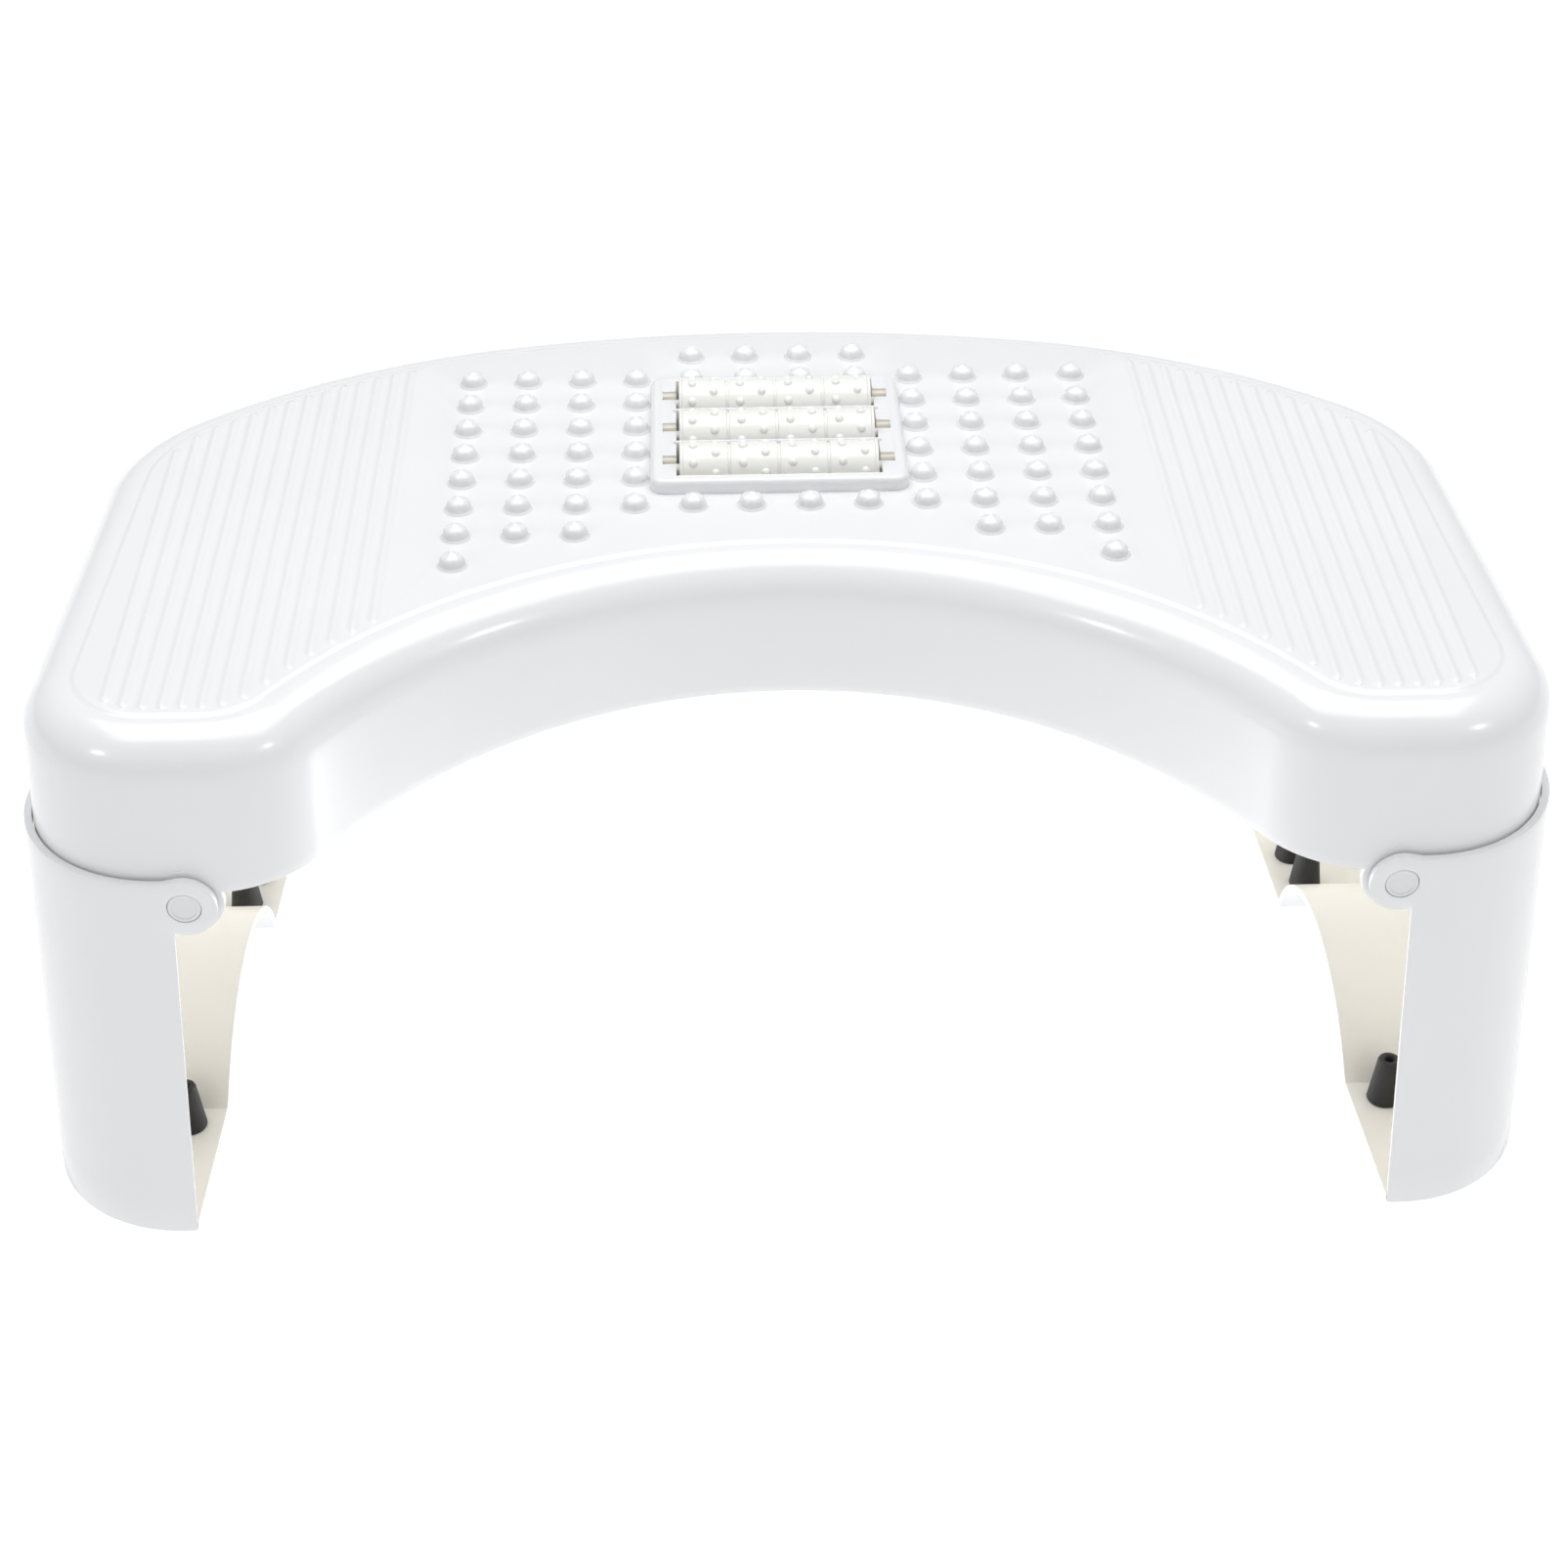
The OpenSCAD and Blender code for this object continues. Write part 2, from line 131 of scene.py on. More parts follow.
def arc(spec, d, step):
    """Points along one arc of the outline moved outward by d."""
    c, r, sign, a0, a1 = spec
    n = max(3, math.ceil(abs(math.radians(a1 - a0)) * r / step))
    return [deg_point(c, r + sign * d, a0 + (a1 - a0) * i / n) for i in range(n + 1)]


def outline(d, step=COARSE_STEP):
    """The closed outline moved outward by d, with the same number of points for every d."""
    right = []
    for spec in ARCS:
        points = arc(spec, d, step)
        if right:
            points = points[1:]
        right += points
    return right + [(-x, y) for x, y in right[-2:0:-1]]


def bay_shares():
    """For each point of the outline, how much it belongs to the bay: 0 on the sides, 1 on the arc."""
    right = []
    for k, spec in enumerate(ARCS):
        n = len(arc(spec, 0, COARSE_STEP)) - 1
        values = [(0.0, i / n, 1.0)[max(0, k - FRONT_ARC)] for i in range(n + 1)]
        right += values[1:] if right else values
    return right + right[-2:0:-1]


SHARES = bay_shares()


def edge_rise(x):
    """How much the skirt's lower edge rises towards the middle of the bay."""
    return BAY_RISE * max(0.0, 1 - (x / BAY_ARCH_HALF) ** 2)


def deck_ring(d, z, low):
    """A ring of the deck's skin; low is 1 at the skirt's lower edge, which doesn't flare in the bay."""
    ring = []
    for (px, py), (qx, qy), share in zip(outline(d), outline(d - FLARE * low), SHARES):
        x, y = px + (qx - px) * share, py + (qy - py) * share
        ring.append((x, y, z + low * share * edge_rise(x)))
    return ring


def crossings(points, x):
    """Where the closed outline crosses this x, as sorted y values."""
    found = []
    for (px, py), (qx, qy) in zip(points, points[1:] + points[:1]):
        if (px - x) * (qx - x) < 0:
            t = (x - px) / (qx - px)
            found.append(py + t * (qy - py))
    return sorted(found)


# ---------------------------------------------------------------- materials
def material(name, colour, shade, rough, bump_scale, bump, coat=0.0, speck=0.0):
    """A moulded finish: cloudy colour, uneven roughness, fine grain and a few faint specks."""
    m = bpy.data.materials.new(name)
    m.use_nodes = True
    n, link = m.node_tree.nodes, m.node_tree.links.new
    n.clear()
    out = n.new("ShaderNodeOutputMaterial")
    bsdf = n.new("ShaderNodeBsdfPrincipled")
    place = n.new("ShaderNodeTexCoord")

    def noise(scale, detail):
        node = n.new("ShaderNodeTexNoise")
        node.inputs["Scale"].default_value, node.inputs["Detail"].default_value = scale, detail
        link(place.outputs["Object"], node.inputs["Vector"])
        return node

    cloud = noise(14, 5)
    fine = noise(bump_scale, 4)
    smear = noise(55, 6)
    tint = n.new("ShaderNodeValToRGB")
    tint.color_ramp.elements[0].position, tint.color_ramp.elements[1].position = 0.3, 0.7
    tint.color_ramp.elements[0].color = (*shade, 1)
    tint.color_ramp.elements[1].color = (*colour, 1)
    rough_map = n.new("ShaderNodeMapRange")
    rough_map.inputs["To Min"].default_value, rough_map.inputs["To Max"].default_value = rough
    grain = n.new("ShaderNodeBump")
    grain.inputs["Strength"].default_value = bump
    grain.inputs["Distance"].default_value = 0.0002
    link(cloud.outputs["Fac"], tint.inputs["Fac"])
    base = tint.outputs["Color"]
    if speck:
        dust = n.new("ShaderNodeTexVoronoi")
        dust.inputs["Scale"].default_value = 240
        link(place.outputs["Object"], dust.inputs["Vector"])
        spot = n.new("ShaderNodeMapRange")
        spot.inputs["From Min"].default_value, spot.inputs["From Max"].default_value = 0.02, 0.09
        spot.inputs["To Min"].default_value, spot.inputs["To Max"].default_value = speck, 0.0
        link(dust.outputs["Distance"], spot.inputs["Value"])
        mix = n.new("ShaderNodeMixRGB")
        mix.inputs["Color2"].default_value = (*[c * 0.8 for c in shade], 1)
        link(spot.outputs["Result"], mix.inputs["Fac"])
        link(base, mix.inputs["Color1"])
        base = mix.outputs["Color"]
    link(base, bsdf.inputs["Base Color"])
    link(smear.outputs["Fac"], rough_map.inputs["Value"])
    link(rough_map.outputs["Result"], bsdf.inputs["Roughness"])
    link(fine.outputs["Fac"], grain.inputs["Height"])
    link(grain.outputs["Normal"], bsdf.inputs["Normal"])
    link(bsdf.outputs["BSDF"], out.inputs["Surface"])
    bsdf.inputs["Coat Weight"].default_value = coat
    bsdf.inputs["Coat Roughness"].default_value = 0.08
    return m


shell_white = material("shell_white", (0.862, 0.868, 0.882), (0.84, 0.847, 0.862),
                       (0.17, 0.27), 900, 0.05, 0.3, 0.12)
# A copy of the white shell plastic tinted cream for the insides: painted warm light, the glow that comes
# through the translucent shell into the shaded legs and tray. Its faint specks are dust.
painted_inner_glow = material("painted_inner_glow", (0.90, 0.88, 0.82), (0.87, 0.845, 0.78), (0.3, 0.42), 1500, 0.12,
                       speck=0.1)
roller_white = material("roller_white", (0.90, 0.90, 0.875), (0.875, 0.875, 0.845),
                        (0.2, 0.32), 1200, 0.08, 0.2)
axle_ivory = material("axle_ivory", (0.82, 0.81, 0.76), (0.77, 0.76, 0.71), (0.35, 0.45), 1800, 0.12)
pin_white = material("pin_white", (0.80, 0.81, 0.83), (0.77, 0.78, 0.80), (0.22, 0.34), 1600, 0.1, 0.15)
foot_rubber = material("foot_rubber", (0.022, 0.021, 0.020), (0.012, 0.012, 0.012), (0.5, 0.68), 2200, 0.5)


# ---------------------------------------------------------------- mesh helpers
SMOOTH_ANGLE = 32  # edges sharper than this many degrees stay sharp


def new_object(name, data):
    obj = bpy.data.objects.new(name, data)
    bpy.context.scene.collection.objects.link(obj)
    return obj


def circle(r, n):
    """n points on the circle of radius r about the origin."""
    return [(r * math.cos(2 * math.pi * i / n), r * math.sin(2 * math.pi * i / n)) for i in range(n)]


class Shape:
    """Vertices in millimetres, faces, and a material number for each face."""

    def __init__(self):
        self.v, self.f, self.m = [], [], []

    def add(self, verts, faces, mat=0):
        k = len(self.v)
        self.v += [tuple(p) for p in verts]
        self.f += [tuple(i + k for i in face) for face in faces]
        self.m += [mat] * len(faces)
        return k

    def loops(self, rings, mat=0, close=False):
        """Quads between rings of equal length; returns the index of each ring's first vertex."""
        n = len(rings[0])
        k = self.add([p for ring in rings for p in ring], [])
        last = len(rings) if close else len(rings) - 1
        for a in range(last):
            b = (a + 1) % len(rings)
            self.f += [(k + a * n + i, k + a * n + (i + 1) % n, k + b * n + (i + 1) % n, k + b * n + i)
                       for i in range(n)]
            self.m += [mat] * n
        return [k + a * n for a in range(len(rings))]

    def sheet(self, outer, inner, faces, mats):
        """A closed solid from two matching sheets of points; mats: outer, inner, edge."""
        k = self.add(outer, faces, mats[0])
        j = self.add(inner, [f[::-1] for f in faces], mats[1])
        edges = [(a, b) for f in faces for a, b in zip(f, f[1:] + f[:1])]
        known = set(edges)
        for a, b in edges:
            if (b, a) not in known:
                self.f.append((k + b, k + a, j + a, j + b))
                self.m.append(mats[2])

    def prism(self, points, place, t0, t1, mat=0):
        """A polygon carried from t0 to t1; place(u, v, t) gives the point."""
        n = len(points)
        k = self.add([place(u, v, t) for t in (t0, t1) for u, v in points], [])
        self.f += [tuple(range(k, k + n)), tuple(range(k + 2 * n - 1, k + n - 1, -1))]
        self.f += [(k + i, k + n + i, k + n + (i + 1) % n, k + (i + 1) % n) for i in range(n)]
        self.m += [mat] * (n + 2)

    def lathe(self, profile, place, n):
        """A turned solid: profile is (radius, along) from one end of the axis to the other."""
        self.loops([[place(u, v, t) for u, v in circle(r, n)] for r, t in profile])

    def mirrored(self):
        other = Shape()
        other.v = [(-x, y, z) for x, y, z in self.v]
        other.f = [f[::-1] for f in self.f]
        other.m = list(self.m)
        return other

    def join(self, other):
        k = self.add(other.v, [])
        self.f += [tuple(i + k for i in f) for f in other.f]
        self.m += other.m


# Each of these gives the place of (u, v, t): t along the axis, and u and v from the axis's own place.
def along_y(x, z):
    return lambda u, v, t: (x + u, t, z + v)


def along_x(y, z):
    return lambda u, v, t: (t, y + u, z + v)


def along_z(x, y):
    return lambda u, v, t: (x + u, y + v, t)


def rounded(r, t0, t1, edge):
    """The profile of a disc or rod of radius r from t0 up to t1 with rounded edges."""
    quarter = [math.pi / 2 * i / 3 for i in range(4)]
    first = [(r - edge + edge * math.sin(a), t0 + edge * (1 - math.cos(a))) for a in quarter]
    last = [(r - edge + edge * math.cos(a), t1 - edge * (1 - math.sin(a))) for a in quarter]
    return [(0.0, t0)] + first + last + [(0.0, t1)]


def clean(bm):
    """Merges doubled points, drops loose ones and turns every face outward."""
    bmesh.ops.remove_doubles(bm, verts=bm.verts, dist=2e-7)
    bmesh.ops.dissolve_degenerate(bm, dist=1e-7, edges=bm.edges)
    loose = [v for v in bm.verts if not v.link_faces]
    bmesh.ops.delete(bm, geom=loose, context="VERTS")
    bmesh.ops.recalc_face_normals(bm, faces=bm.faces)


def to_object(name, shape, materials, smooth=SMOOTH_ANGLE):
    """The shape as a clean, smooth-shaded object in metres."""
    mesh = bpy.data.meshes.new(name)
    mesh.from_pydata([Vector(p) * MM for p in shape.v], [], shape.f)
    mesh.polygons.foreach_set("material_index", shape.m)
    for m in materials:
        mesh.materials.append(m)
    obj = new_object(name, mesh)
    bm = bmesh.new()
    bm.from_mesh(mesh)
    clean(bm)
    bm.to_mesh(mesh)
    bm.free()
    mesh.shade_smooth()
    mesh.set_sharp_from_angle(angle=math.radians(smooth))
    return obj


def bake(obj):
    """Applies the object's modifiers to its mesh."""
    graph = bpy.context.evaluated_depsgraph_get()
    mesh = bpy.data.meshes.new_from_object(obj.evaluated_get(graph))
    old = obj.data
    obj.modifiers.clear()
    obj.data = mesh
    bpy.data.meshes.remove(old)
    mesh.name = obj.name
    mesh.shade_smooth()
    mesh.set_sharp_from_angle(angle=math.radians(SMOOTH_ANGLE))


def boolean(obj, tool_shape, operation="DIFFERENCE"):
    """Cuts the shape out of the object, or joins it to the object with UNION."""
    tool = to_object("tool", tool_shape, list(obj.data.materials))
    mod = obj.modifiers.new("cut", "BOOLEAN")
    mod.operation, mod.object, mod.solver = operation, tool, "EXACT"
    bake(obj)
    data = tool.data
    bpy.data.objects.remove(tool)
    bpy.data.meshes.remove(data)


def bevel(obj, width, angle):
    """Rounds the edges that are sharper than the angle."""
    mod = obj.modifiers.new("bevel", "BEVEL")
    mod.width, mod.segments = width * MM, 2
    mod.limit_method, mod.angle_limit = "ANGLE", math.radians(angle)
    bake(obj)


def piece(obj, body, slot, *nodes):
    """The object rides on the body and stands for the nodes. The slot is not used."""
    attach(obj, body)
    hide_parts(*nodes)


# ---------------------------------------------------------------- deck
def rim_arc(radius, a0, a1, n):
    """Points (distance outside the outline, height) round the rim."""
    return [(-RIM_R + radius * math.cos(math.radians(a0 + (a1 - a0) * i / n)),
             RIM_Z + radius * math.sin(math.radians(a0 + (a1 - a0) * i / n))) for i in range(n + 1)]


# The deck's section as (distance outside the plan outline, height, how much it flares), from the plate's
# underside down the inside of the skirt, round its lip, up the outside and over the rim to the nubbed field.
EDGE_D = -RIM_R - 2.2
STEP = [(-RIM_R - 0.5, DECK_Z - STEP_H * 0.95), (-RIM_R - 1.0, DECK_Z - STEP_H * 0.6),
        (-RIM_R - 1.5, DECK_Z - STEP_H * 0.18), (EDGE_D, DECK_Z)]
skirt_side = [(FLARE * (1 - t), SKIRT_Z + 0.7 + (RIM_Z - SKIRT_Z - 0.7) * t, 1 - t)
              for t in (0.0, 0.08, 0.35, 0.65, 0.92)]
skirt_inner = [(FLARE * (1 - t) - WALL, SKIRT_Z + 0.5 + (RIM_Z - SKIRT_Z - 0.5) * t, 1 - t)
               for t in (0.95, 0.6, 0.3, 0.0)]
lip = [(FLARE - WALL + 0.25, SKIRT_Z + 0.12, 1), (FLARE - WALL + 0.6, SKIRT_Z, 1),
       (FLARE - 0.6, SKIRT_Z, 1), (FLARE - 0.18, SKIRT_Z + 0.2, 1)]
under = [(-RIM_R - 0.5, PLATE_Z)] + rim_arc(RIM_R - WALL, 90, 0, 8)
deck_section = [(d, z, 0) for d, z in under] + skirt_inner + lip + skirt_side
deck_section += [(d, z, 0) for d, z in rim_arc(RIM_R, 0, 90, 16) + STEP]

# The nubs stand on a grid, with columns counted from the middle and rows from the back.
NUB_PITCH = (16.5, 15.4)
NUB_BACK_Y = 90.9
NUB_R, NUB_H = 4.0, 4.0
nub_cells = [(col, row) for col in (0, 1) for row in (0, 1, 6)]
for col, last in ((2, 6), (3, 7), (4, 7), (5, 8)):
    nub_cells += [(col, row) for row in range(1, last + 1)]
nub_places = [(side * (col + 0.5) * NUB_PITCH[0], NUB_BACK_Y - row * NUB_PITCH[1])
              for col, row in nub_cells for side in (-1, 1)]

# The raised beads on a nub: one on its crown and six round it, as degrees from the crown and round the nub.
BEADS = [(0.0, 0.0)] + [(48.0, 60.0 * k) for k in range(6)]
BEAD_H, BEAD_SPREAD = 0.42, math.radians(15)


def direction(polar, around):
    """The unit vector at polar radians from +Z and around radians from +X."""
    return Vector((math.sin(polar) * math.cos(around), math.sin(polar) * math.sin(around), math.cos(polar)))


def bead_height(d, beads):
    """How much the beads raise a nub's surface in direction d, from 0 to about 1."""
    offsets = [math.acos(max(-1.0, min(1.0, d.dot(b)))) for b in beads]
    return sum(math.exp(-(off / BEAD_SPREAD) ** 2) for off in offsets)


def nub_rings(x, y, turn, n=24):
    """Rings of one nub from its foot to its crown: a dome with small raised beads on it."""
    beads = [direction(math.radians(polar), math.radians(around + turn)) for polar, around in BEADS]
    rings = [[(x + u, y + v, DECK_Z + h) for u, v in circle(r, n)]
             for r, h in ((NUB_R + 0.9, 0.0), (NUB_R + 0.35, 0.12), (NUB_R, 0.5))]
    core = NUB_R - 0.25
    for polar in (80, 70, 61, 53, 45, 37, 29, 21, 13, 6):
        ring = []
        for i in range(n):
            d = direction(math.radians(polar), 2 * math.pi * i / n)
            r = core + BEAD_H * bead_height(d, beads)
            ring.append((x + r * d.x, y + r * d.y, DECK_Z + 0.1 + (NUB_H / NUB_R) * r * d.z))
        rings.append(ring)
    return rings


RIB_START, RIB_PITCH, RIB_W, RIB_H = 110.0, 5.0, 4.0, 0.6
RIB_EASE = 2.6  # length of a grip rib's rounded end
WINDOW_HALF, WINDOW_INSET = 34.1, 1.9


def rib_grid(x, y0, y1):
    """Stations along one grip rib; each is a row of points across it."""
    ease = [0.0, 0.25, 0.8, 1.6, RIB_EASE]
    stations = [y0 + e for e in ease] + [y1 - e for e in reversed(ease)]
    across = [-1 + 2 * i / 8 for i in range(9)]
    rows = []
    for y in stations:
        e = min(y - y0, y1 - y)
        k = 1.0 if e >= RIB_EASE else math.sqrt(1 - (1 - e / RIB_EASE) ** 2)
        half = RIB_W / 2 * max(k, 0.3)
        rows.append([(x + half * u, y, DECK_Z + RIB_H * k * math.cos(math.pi * u / 2) ** 2) for u in across])
    return rows


def build_deck():
    """The shell as one skin: the section swept round the outline, capped by a plate with nubs and ribs."""
    s = Shape()
    rings = [deck_ring(*corner) for corner in deck_section]
    starts = s.loops(rings)
    n = len(rings[0])
    under_loop = [starts[0] + i for i in range(n)]
    top_loop = [starts[-1] + i for i in range(n)]
    holes = []

    # The window for the roller frame.
    y0, y1 = tray_lo[1] + WINDOW_INSET, tray_hi[1] - WINDOW_INSET
    corners = [(-WINDOW_HALF, y0), (WINDOW_HALF, y0), (WINDOW_HALF, y1), (-WINDOW_HALF, y1)]
    w = s.loops([[(x, y, z) for x, y in corners] for z in (DECK_Z, PLATE_Z)])
    holes.append([w[0] + i for i in range(4)])
    under_hole = [w[1] + i for i in range(4)]

    for x, y in nub_places:
        rings = nub_rings(x, y, random.uniform(0, 60))
        k = s.loops(rings)
        m = len(rings[0])
        holes.append([k[0] + i for i in range(m)])
        s.f.append(tuple(k[-1] + i for i in range(m)))
        s.m.append(0)

    inside = outline(EDGE_D - 1.2, FINE_STEP)
    x = RIB_START
    while x < HALF_W + EDGE_D - 1:
        ys = crossings(inside, x)
        for side in (-1, 1):
            rows = rib_grid(side * x, ys[0], ys[-1])
            c = len(rows[0])
            k = s.add([p for row in rows for p in row],
                      [(a * c + i, a * c + i + 1, (a + 1) * c + i + 1, (a + 1) * c + i)
                       for a in range(len(rows) - 1) for i in range(c - 1)])
            last, between = len(rows) - 1, range(1, len(rows) - 1)
            loop = [k + i for i in range(c)] + [k + a * c + c - 1 for a in between]
            loop += [k + last * c + i for i in reversed(range(c))] + [k + a * c for a in reversed(between)]
            holes.append(loop)
        x += RIB_PITCH

    mesh = bpy.data.meshes.new("deck_top_shell")
    mesh.from_pydata([Vector(p) * MM for p in s.v], [], s.f)
    bm = bmesh.new()
    bm.from_mesh(mesh)
    bm.verts.ensure_lookup_table()

    def cap(loops, z_normal):
        edges = []
        for loop in loops:
            for a, b in zip(loop, loop[1:] + loop[:1]):
                e = bm.edges.get((bm.verts[a], bm.verts[b])) or bm.edges.new((bm.verts[a], bm.verts[b]))
                edges.append(e)
        bmesh.ops.triangle_fill(bm, use_beauty=True, use_dissolve=False, edges=edges, normal=(0, 0, z_normal))

    cap([top_loop] + holes, 1)
    cap([under_loop, under_hole], -1)
    clean(bm)
    bm.to_mesh(mesh)
    bm.free()
    mesh.materials.append(shell_white)
    mesh.shade_smooth()
    mesh.set_sharp_from_angle(angle=math.radians(SMOOTH_ANGLE))
    return new_object("deck_top_shell", mesh)


STIFF_Z, STIFF_W = 151.0, 2.0
CROSS_RIBS = [(0.0, 170.0), (76.0, 112.0)]  # front face and half length
BOSS_R, BOSS_CORE_R, BOSS_LEN = 10.0, 6.5, 12.0
LUG_Y, LUG_T = 59.5, 4.0


def build_under():
    """Stiffening ribs, hinge bosses and lugs under the deck."""
    s = Shape()
    inside = outline(-RIM_R - 6, FINE_STEP)

    def stiffener(x0, x1, y0, y1):
        s.prism([(x0, y0), (x1, y0), (x1, y1), (x0, y1)], along_z(0, 0), STIFF_Z, PLATE_Z + 0.1)

    for x in range(45, 170, 30):
        ys = crossings(inside, x)
        for side in (-1, 1):
            stiffener(side * x - STIFF_W / 2, side * x + STIFF_W / 2, ys[0], ys[-1])
    for y, half in CROSS_RIBS:
        stiffener(-half, half, y, y + STIFF_W)

    right = Shape()
    here = along_y(HINGE_X, HINGE_Z)
    boss_y = FRONT_Y - FLARE + 0.25
    right.lathe(rounded(BOSS_R, boss_y, boss_y + WALL, 0.4), here, 64)
    right.lathe(rounded(BOSS_CORE_R, boss_y, boss_y + BOSS_LEN, 0.4), here, 48)
    lug = [(EAR_R * math.cos(a), EAR_R * math.sin(a)) for a in
           [math.pi + math.pi * i / 20 for i in range(21)]]
    top = PLATE_Z + 0.5 - HINGE_Z
    lug += [(EAR_R, top - 1.5), (2.0, top - 1.0), (2.0, top), (-EAR_R, top)]
    right.prism(lug, here, LUG_Y, LUG_Y + LUG_T)
    web_top = RIM_Z - 0.5 - HINGE_Z
    web = [(0, 12.0), (16.0, 22.0), (16.0, web_top), (0, web_top)]
    right.prism(web, along_x(LUG_Y, HINGE_Z), HINGE_X - STIFF_W / 2, HINGE_X + STIFF_W / 2)
    s.join(right)
    s.join(right.mirrored())
    return to_object("deck_underside", s, [shell_white])


piece(build_deck(), "deck", "shell", "deck_shell")
piece(build_under(), "deck", "shell", "deck_shell")


# ---------------------------------------------------------------- legs
ARCH_HALF, ARCH_RISE, ARCH_Y = 43.0, 27.0, -28.0
ARCH_R = (ARCH_HALF ** 2 + ARCH_RISE ** 2) / (2 * ARCH_RISE)
ARCH_Z = FLOOR_Z + ARCH_RISE - ARCH_R
HINGE_CUT_X, HINGE_CUT_Z = 155.0, HINGE_Z - 24  # above this the wall stops short of the back hinge
INNER_FRONT_X, INNER_BACK_X = 160.0, 149.0  # the leg's open inner side
FLOOR_RECESS = 0.15  # the floor's underside lies this far above the wall's edge
BORE_R = 3.1
BACK_EAR_Y, BACK_EAR_T = 56.1, 3.0


def under_z(y, grow=0.0, base=FLOOR_Z):
    """Height of the leg's lower edge at y: the arch grown by so much, or the base beside it."""
    reach = (ARCH_R + grow) ** 2 - (y - ARCH_Y) ** 2
    return max(base, ARCH_Z + math.sqrt(reach)) if reach > 0 else base


def leaned(px, py, z):
    """A point of the upright leg moved to where the leaning leg has it."""
    return (HINGE_X + (px - HINGE_X) / math.cos(LEAN) - (z - HINGE_Z) * math.tan(LEAN), py, z)


def inner_line(y):
    """Where the leg's floor ends on the open inner side."""
    return INNER_FRONT_X - (y - leg_lo[1]) * (INNER_FRONT_X - INNER_BACK_X) / (-2 * leg_lo[1])


ARC_STEPS, SIDE_STEPS, FLANK_STEPS, END_STEPS = 30, 56, 10, 3


def leg_stations(d):
    """Plan points of the leg's wall from its front end to its back end, and how many have its full height."""
    first = -90 + math.degrees(math.asin((INNER_FRONT_X - FRONT_C[0]) / (FRONT_R + LEG_OUT)))
    points = [deg_point(FRONT_C, FRONT_R + d, first + (SIDE_A - first) * i / ARC_STEPS)
              for i in range(ARC_STEPS + 1)]
    y0 = deg_point(FRONT_C, FRONT_R + LEG_OUT, SIDE_A)[1]
    y1 = deg_point(CORNER_C, CORNER_R + LEG_OUT, SIDE_A)[1]
    arch_ends = [(y - y0) / (y1 - y0) for y in (ARCH_Y - ARCH_HALF, ARCH_Y + ARCH_HALF)]
    shares = [i / SIDE_STEPS for i in range(1, SIDE_STEPS)] + [e for e in arch_ends if 0 < e < 1]
    p0, p1 = points[-1], deg_point(CORNER_C, CORNER_R + d, SIDE_A)
    points += [(p0[0] + (p1[0] - p0[0]) * t, p0[1] + (p1[1] - p0[1]) * t)
               for t in sorted(shares)]
    points += [deg_point(CORNER_C, CORNER_R + d, SIDE_A + (CORNER_A - SIDE_A) * i / ARC_STEPS)
               for i in range(ARC_STEPS + 1)]
    cut = math.degrees(math.acos((HINGE_CUT_X - FLANK_C[0]) / (FLANK_R + LEG_OUT)))
    end = cut
    x, y = deg_point(FLANK_C, FLANK_R + LEG_OUT, end)
    while x > inner_line(y):
        end += 0.02
        x, y = deg_point(FLANK_C, FLANK_R + LEG_OUT, end)
    points += [deg_point(FLANK_C, FLANK_R + d, CORNER_A + (cut - CORNER_A) * i / FLANK_STEPS)
               for i in range(1, FLANK_STEPS + 1)]
    full = len(points)
    points += [deg_point(FLANK_C, FLANK_R + d, cut + (end - cut) * i / END_STEPS)
               for i in range(1, END_STEPS + 1)]
    return points, full


# Rows of the wall's mesh: up to the hinge cut, on up to the ear, and beside the ear.
LOW_ROWS, MID_ROWS, TOP_ROWS = 9, 2, 5
EAR_COLUMNS = 14
EAR_END_Z = 106.0  # where the ear's outline meets the wall's front end
EAR_REACH = 12  # stations whose top follows the ear's outline


def wall_top(x):
    """Height of the wall's top at x, which follows the ear where the ear is higher."""
    off = EAR_R ** 2 - (x - HINGE_X) ** 2
    return max(LEG_TOP, HINGE_Z + math.sqrt(off)) if off > 0 else LEG_TOP


